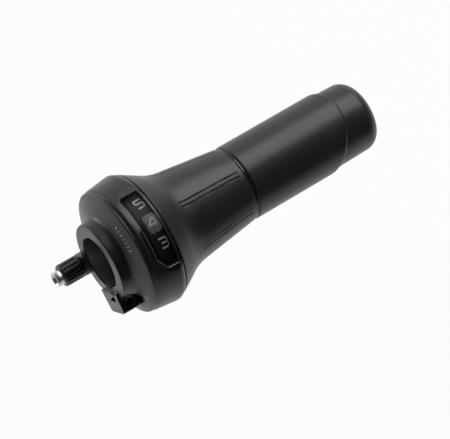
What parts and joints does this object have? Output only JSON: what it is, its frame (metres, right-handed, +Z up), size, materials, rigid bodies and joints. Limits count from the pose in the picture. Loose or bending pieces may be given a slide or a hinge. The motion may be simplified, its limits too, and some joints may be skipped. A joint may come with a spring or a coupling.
{
  "type": "twist grip shifter",
  "caption": "Twist grip gear shifter for a flat handlebar, with a round drum, a number window, a turning grip and a matching fixed end grip.",
  "frame": {"origin": "on the handlebar's axis, at the rim of the housing's neck, within 1 mm of the clamp band's edge", "axes": "+X along the bar towards its end, +Y forward, +Z up"},
  "size_m": [0.142, 0.056, 0.0549],
  "materials": {
    "housing_plastic": "satin black moulding",
    "drum_plastic": "satin black moulding",
    "black_screws": "black oxide",
    "clear_lens": "clear polished plastic",
    "band_steel": "bright strip",
    "bolt_steel": "black oxide",
    "washer_steel": "zinc plated",
    "nut_steel": "zinc plated",
    "thrust_plastic": "natural white plastic",
    "spring_steel": "spring temper",
    "leaf_screw_steel": "zinc plated",
    "guide_steel": "bright tube",
    "spacer_plastic": "glossy black",
    "fixed_rubber": "smooth matt rubber",
    "sleeve_plastic": "plain moulding",
    "ring_steel": "stamped",
    "dial_plastic": "black with pale numbers",
    "dial_screw_steel": "zinc plated",
    "twist_rubber": "smooth matt rubber",
    "knob_plastic": "satin black moulding",
    "coil_steel": "spring wire",
    "barrel_aluminium": "turned"
  },
  "bodies": {
    "housing": {"clamp_body": "housing_plastic", "drum_shell": "drum_plastic", "shell_screws": "black_screws", "window_lens": "clear_lens", "clamp_band": "band_steel", "clamp_bolt": "bolt_steel", "bolt_washer": "washer_steel", "clamp_nut": "nut_steel", "thrust_washer": "thrust_plastic", "detent_spring": "spring_steel", "spring_screw": "leaf_screw_steel", "cable_guide": "guide_steel", "spacer_washer": "spacer_plastic", "fixed_grip": "fixed_rubber"},
    "twist": {"twist_sleeve": "sleeve_plastic", "detent_ring": "ring_steel", "number_dial": "dial_plastic", "dial_screws": "dial_screw_steel", "twist_grip": "twist_rubber"},
    "adjuster": {"adjuster_knob": "knob_plastic", "adjuster_spring": "coil_steel"},
    "barrel": {"adjuster_bolt": "barrel_aluminium"}
  },
  "joints": [
    {"name": "twist", "type": "hinge", "parent": "housing", "child": "twist", "pos_m": [0.03, 0, 0], "axis": [1, 0, 0], "range_deg": [-63.9, 63.9], "deforming": ["detent_spring"]},
    {"name": "adjuster_turn", "type": "hinge", "parent": "housing", "child": "adjuster", "pos_m": [0, 0.0135, -0.01609], "axis": [1, 0, 0], "range_deg": [-720, 720]},
    {"name": "barrel_travel", "type": "slide", "parent": "adjuster", "child": "barrel", "axis": [1, 0, 0], "range_m": [-0.0016, 0.0016]}
  ],
  "couplings": [
    {"joint": "adjuster_turn", "follows": "barrel_travel", "rad_per_m": 7854}
  ]
}
